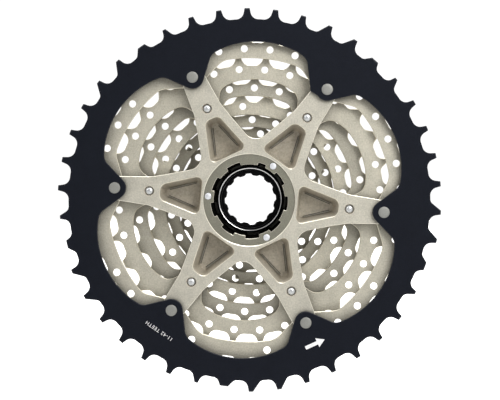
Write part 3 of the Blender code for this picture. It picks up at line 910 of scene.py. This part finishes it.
def lock_ring(materials):
    """A flange with a thin lip behind it, a barrel with grooves for its thread, and the tool spline."""
    rear, front = span("lock_ring")
    flange = front - FLANGE_THICKNESS
    seat = front - TOOL_SPLINE_LENGTH
    thread = []
    depth = rear + THREAD_START
    while depth + THREAD_PITCH < flange - 1.0:
        valley = (BARREL_RADIUS - THREAD_DEPTH, depth + THREAD_VALLEY)
        thread += [valley, (BARREL_RADIUS, depth + THREAD_PITCH)]
        depth += THREAD_PITCH
    profile = [
        (BARREL_BORE - 0.3, seat),
        (BARREL_BORE, seat - 0.3),
        (BARREL_BORE, rear + 0.9),
        (BARREL_RADIUS - 0.95, rear + 0.1),
        (BARREL_RADIUS - 0.6, rear),
        (BARREL_RADIUS, rear + 0.7),
        (BARREL_RADIUS, rear + THREAD_START),
        *thread,
        (BARREL_RADIUS - THREAD_RELIEF, flange - 0.3),
        (BARREL_RADIUS - THREAD_RELIEF, flange),
        (FLANGE_RADIUS - FLANGE_LIP, flange),
        (FLANGE_RADIUS - FLANGE_LIP, flange - FLANGE_LIP_DEPTH),
        (FLANGE_RADIUS, flange - FLANGE_LIP_DEPTH),
        (FLANGE_RADIUS, front - FLANGE_CHAMFER),
        (FLANGE_RADIUS - FLANGE_CHAMFER, front),
    ]
    form = Form()
    looks = (PLAIN, PLAIN, PLAIN, EDGES)
    rings = form.stack([(circle(radius, RING_SIDES), depth) for radius, depth in profile], looks)
    spline = tool_spline()
    sections = [
        (shifted(spline, 0.2), seat),
        (spline, seat + 0.2),
        (spline, front - 0.22),
        (shifted(spline, 0.22), front),
    ]
    notches = form.stack(sections)
    form.cap([rings[0], notches[0]])
    form.cap([rings[-1], notches[-1]])
    form.piece("lock_ring_detailed", materials, "ring", "lock_ring_black", "lock_ring")


def washer(materials):
    rear, front = span("lock_ring_washer")
    outer, inner = (circle(radius, RING_SIDES) for radius in (WASHER_OUTER_RADIUS, WASHER_INNER_RADIUS))
    form = ring_form(outer, inner, rear, front, edge=WASHER_EDGE)
    form.piece("lock_ring_washer_detailed", materials, "ring_washer", "washer_steel", "lock_ring_washer")


def shader_nodes(name, metallic, roughness, specular=0.5):
    material = bpy.data.materials.new(name)
    material.use_nodes = True
    nodes, links = material.node_tree.nodes, material.node_tree.links
    shader = nodes["Principled BSDF"]
    shader.inputs["Metallic"].default_value = metallic
    shader.inputs["Roughness"].default_value = roughness
    shader.inputs["Specular IOR Level"].default_value = specular
    return material, nodes, links, shader


def noise(nodes, links, coordinates, scale, detail):
    """A noise texture in the piece's own coordinates, whose scale is in features per metre."""
    texture = nodes.new("ShaderNodeTexNoise")
    texture.inputs["Scale"].default_value = scale
    texture.inputs["Detail"].default_value = detail
    links.new(coordinates, texture.inputs["Vector"])
    return texture.outputs["Fac"]


def ramp(nodes, links, source, stops):
    node = nodes.new("ShaderNodeValToRGB")
    elements = node.color_ramp.elements
    while len(elements) < len(stops):
        elements.new(0.5)
    for element, (position, colour) in zip(elements, stops):
        element.position = position
        element.color = (*colour, 1)
    links.new(source, node.inputs["Fac"])
    return node.outputs["Color"]


def grey_ramp(nodes, links, source, stops):
    return ramp(nodes, links, source, [(at, (value,) * 3) for at, value in stops])


def scaled(colour, factor):
    return tuple(min(1.0, c * factor) for c in colour)


def metal(name, colour, metallic, roughness, grain=1800, variation=0.07, bump=0.06, painted_shade=0.0, specular=0.5):
    """Metal with broad mottling, fine grain in its colour and gloss, a fine bump and, when asked for,
    painted shade: a darker base colour where other surfaces crowd it."""
    material, nodes, links, shader = shader_nodes(name, metallic, roughness, specular)
    coordinates = nodes.new("ShaderNodeTexCoord").outputs["Object"]
    broad = noise(nodes, links, coordinates, MOTTLE, BROAD_DETAIL)
    fine = noise(nodes, links, coordinates, grain, FINE_DETAIL)
    mixed = nodes.new("ShaderNodeMath")
    mixed.operation = "MULTIPLY_ADD"
    links.new(fine, mixed.inputs[0])
    mixed.inputs[1].default_value = GRAIN_SHARE
    rest = nodes.new("ShaderNodeMath")
    rest.operation = "MULTIPLY"
    links.new(broad, rest.inputs[0])
    rest.inputs[1].default_value = 1 - GRAIN_SHARE
    links.new(rest.outputs[0], mixed.inputs[2])
    tones = (scaled(colour, 1 - variation), scaled(colour, 1 + variation))
    tone = ramp(nodes, links, mixed.outputs[0], list(zip(TONE_SPREAD, tones)))
    if painted_shade:
        # Painted shade: ambient occlusion darkens the base colour in crevices, under overlapping plates and
        # between parts.
        occlusion_shade = nodes.new("ShaderNodeAmbientOcclusion")
        occlusion_shade.samples = PAINTED_SHADE_SAMPLES
        occlusion_shade.inputs["Distance"].default_value = PAINTED_SHADE_REACH
        shaded_tone = nodes.new("ShaderNodeMixRGB")
        shaded_tone.inputs["Fac"].default_value = painted_shade
        links.new(tone, occlusion_shade.inputs["Color"])
        links.new(tone, shaded_tone.inputs["Color1"])
        links.new(occlusion_shade.outputs["Color"], shaded_tone.inputs["Color2"])
        tone = shaded_tone.outputs["Color"]
    links.new(tone, shader.inputs["Base Color"])
    gloss = nodes.new("ShaderNodeMapRange")
    gloss.inputs["To Min"].default_value = roughness + GLOSS_SPREAD[0]
    gloss.inputs["To Max"].default_value = roughness + GLOSS_SPREAD[1]
    links.new(fine, gloss.inputs["Value"])
    links.new(gloss.outputs["Result"], shader.inputs["Roughness"])
    relief = nodes.new("ShaderNodeBump")
    relief.inputs["Strength"].default_value = bump
    relief.inputs["Distance"].default_value = BUMP_HEIGHT
    links.new(fine, relief.inputs["Height"])
    links.new(relief.outputs["Normal"], shader.inputs["Normal"])
    return material


def along_direction(nodes, links, direction, axis, low, high):
    """How far a direction or a position lies along an axis, from 0 at low to 1 at high."""
    dot = nodes.new("ShaderNodeVectorMath")
    dot.operation = "DOT_PRODUCT"
    links.new(direction, dot.inputs[0])
    dot.inputs[1].default_value = axis
    spread = nodes.new("ShaderNodeMapRange")
    spread.inputs["From Min"].default_value = low
    spread.inputs["From Max"].default_value = high
    links.new(dot.outputs["Value"], spread.inputs["Value"])
    return spread.outputs["Result"]


def studio_floor(low):
    """A floor under the object, dark in front of it and glowing white behind it."""
    form = bmesh.new()
    bmesh.ops.create_grid(form, x_segments=2, y_segments=2, size=FLOOR_SIZE)
    mesh = bpy.data.meshes.new("floor")
    form.to_mesh(mesh)
    form.free()
    floor = bpy.data.objects.new("floor", mesh)
    floor.location = (0, 0, low.z - FLOOR_GAP)
    bpy.context.scene.collection.objects.link(floor)
    material, nodes, links, shader = shader_nodes("floor_white", 0.0, 0.9, 0.1)
    position = nodes.new("ShaderNodeTexCoord").outputs["Object"]
    behind = along_direction(nodes, links, position, (0, 1, 0), *FLOOR_STRETCH)
    links.new(grey_ramp(nodes, links, behind, FLOOR_GLOW), shader.inputs["Emission Color"])
    links.new(grey_ramp(nodes, links, behind, FLOOR_PAINT), shader.inputs["Base Color"])
    shader.inputs["Emission Strength"].default_value = 1.0
    mesh.materials.append(material)


def surroundings():
    """A grey world, brighter above and brighter behind the object."""
    world = bpy.data.worlds.new("studio")
    world.use_nodes = True
    nodes, links = world.node_tree.nodes, world.node_tree.links
    background = nodes["Background"]
    direction = nodes.new("ShaderNodeTexCoord").outputs["Generated"]
    towards_front = along_direction(nodes, links, direction, (0, 1, 0), -1, 1)
    upwards = along_direction(nodes, links, direction, SKY_UP, -1, 1)
    around = grey_ramp(nodes, links, towards_front, SKY_AROUND)
    height = grey_ramp(nodes, links, upwards, SKY_HEIGHT)
    sky = nodes.new("ShaderNodeMixRGB")
    sky.blend_type = "MULTIPLY"
    sky.inputs["Fac"].default_value = 1.0
    links.new(around, sky.inputs["Color1"])
    links.new(height, sky.inputs["Color2"])
    links.new(sky.outputs["Color"], background.inputs["Color"])
    bpy.context.scene.world = world


def lights():
    """Soft square lights that point at the middle of the object."""
    for name, position, size, power in LIGHTS:
        light = bpy.data.lights.new(name, "AREA")
        light.size = size
        light.energy = power
        lamp = bpy.data.objects.new(name, light)
        lamp.location = position
        lamp.rotation_euler = (-Vector(position)).to_track_quat("-Z", "Y").to_euler()
        bpy.context.scene.collection.objects.link(lamp)


def camera():
    """A long lens on the side towards the spokes."""
    data = bpy.data.cameras.new("camera")
    data.lens = CAMERA_LENS
    data.sensor_width = CAMERA_SENSOR
    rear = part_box("sprocket_42t")[0].y
    eye = bpy.data.objects.new("camera", data)
    eye.location = (CAMERA_PLACE[0], rear - CAMERA_DISTANCE, CAMERA_PLACE[1])
    target = Vector((CAMERA_TARGET[0], rear, CAMERA_TARGET[1]))
    eye.rotation_euler = (target - eye.location).to_track_quat("-Z", "Y").to_euler()
    bpy.context.scene.collection.objects.link(eye)
    bpy.context.scene.camera = eye


def build():
    """Every material, every piece and the studio."""
    champagne = (0.5, 0.475, 0.402)
    nickel = (0.48, 0.453, 0.375)
    alloy = metal("champagne_alloy", champagne, 0.75, 0.52, grain=1500, variation=0.2, bump=0.35, painted_shade=0.8)
    # Glossier chamfers on the alloy; their base colour, half as bright again, is a painted highlight.
    alloy_edge_highlight = metal("champagne_edge_highlight", scaled(champagne, 1.5), 0.9, 0.3)
    bore_dark = metal("bore_shadow", (0.006, 0.006, 0.005), 0.0, 0.6, specular=0.0)
    # The pockets' cast surface with its grain and bump; its darker tone than the arms is painted shade.
    pocket_cast_shaded = metal("pocket_cast_shaded", (0.45, 0.41, 0.335), 0.45, 0.6, grain=1300, variation=0.22, bump=0.4)
    # Painted shadow: a dark strip at the foot of each pocket's long walls.
    pocket_shadow_line = metal("pocket_shadow_line", (0.1, 0.088, 0.07), 0.3, 0.6)
    # The recessed seat and pin hole walls get a much darker tone than the arms.
    recess = metal("recess_dark_tone", (0.215, 0.208, 0.165), 0.7, 0.5, variation=0.2, bump=0.3)
    # Painted light and shade: copies of the one nickel plate, darker on the 28T and lighter on the 24T.
    plates = {
        name: metal(name, scaled(nickel, tone), 0.7, 0.55, grain=1500, variation=0.2, bump=0.35, painted_shade=0.8)
        for name, tone in (("nickel_plate", 1.0), ("nickel_plate_shaded", 0.8), ("nickel_plate_lit", 1.12))
    }
    # Glossier chamfers on the plated sprockets; their base colour, half as bright again, is a painted
    # highlight.
    plated_edge_highlight = metal("nickel_edge_highlight", scaled(nickel, 1.5), 0.9, 0.3)
    # Painted shade: the small sprockets deep in the stack get a darker copy of the plate and of its edges.
    shaded_nickel = scaled(nickel, 0.85)
    small_plated_shaded = metal("small_nickel_plate_shaded", shaded_nickel, 0.7, 0.5, variation=0.2, bump=0.3, painted_shade=0.8)
    small_edge_shaded = metal("small_nickel_edge_shaded", scaled(nickel, 0.8), 0.9, 0.35)
    black = metal("black_coat", (0.0065, 0.0078, 0.012), 0.0, 0.5, variation=0.14, specular=0.07)
    # Lighter chamfers on the black sprocket: partly wear along the edges, partly painted sheen.
    black_edge_wear_and_sheen = metal("black_coat_edge_wear_and_sheen", (0.012, 0.0135, 0.018), 0.0, 0.4, specular=0.25)
    print_white = metal("print_white", (0.72, 0.72, 0.72), 0.0, 0.6)
    steel = metal("rivet_steel", (0.26, 0.26, 0.24), 0.7, 0.5, grain=2600, variation=0.15)
    bright_steel = metal("bright_steel", (0.56, 0.57, 0.57), 0.85, 0.36)
    pin_steel = metal("pin_steel", (0.74, 0.75, 0.78), 0.85, 0.42)
    polymer = metal("spacer_polymer", (0.012, 0.012, 0.013), 0.0, 0.55, specular=0.12)
    anodised = metal("lock_ring_anodised", (0.006, 0.006, 0.008), 0.0, 0.4, specular=0.15)
    bare = metal("lock_ring_bare_edge", (0.8, 0.8, 0.78), 0.95, 0.3)

    sprocket(42, (black, black_edge_wear_and_sheen), "black_sprocket", riveted_holes(42), BROKEN_EDGES)
    for teeth, plate in ((37, "nickel_plate"), (32, "nickel_plate"), (28, "nickel_plate_shaded")):
        large = (plates[plate], plated_edge_highlight)
        sprocket(teeth, large, "nickel_sprocket", riveted_holes(teeth), BROKEN_EDGES)
    bright = (plates["nickel_plate_lit"], plated_edge_highlight, bore_dark)
    small = (small_plated_shaded, small_edge_shaded, bore_dark)
    for teeth, materials in ((24, bright), (21, small), (18, small), (15, small)):
        sprocket(teeth, materials, "nickel_sprocket", splined_holes(teeth), DARK_BORE)
    sprocket_with_boss(13, "second_sprocket", small)
    sprocket_with_boss(11, "smallest_sprocket", small)
    spider((alloy, alloy_edge_highlight, bore_dark, pocket_cast_shaded, recess, pocket_shadow_line))
    outer_rivets((steel,))
    inner_rivets((bright_steel,))
    fixing_pins((pin_steel,))
    rivet_collars((alloy, alloy_edge_highlight))
    spacers((polymer, bore_dark))
    lock_ring((anodised, bare))
    washer((steel,))
    arrow_print((print_white,))
    letter_print((print_white,))

    low, _ = cad_bounds
    studio_floor(low)
    surroundings()
    lights()
    camera()
    bpy.context.scene.view_settings.view_transform = "Standard"


build()
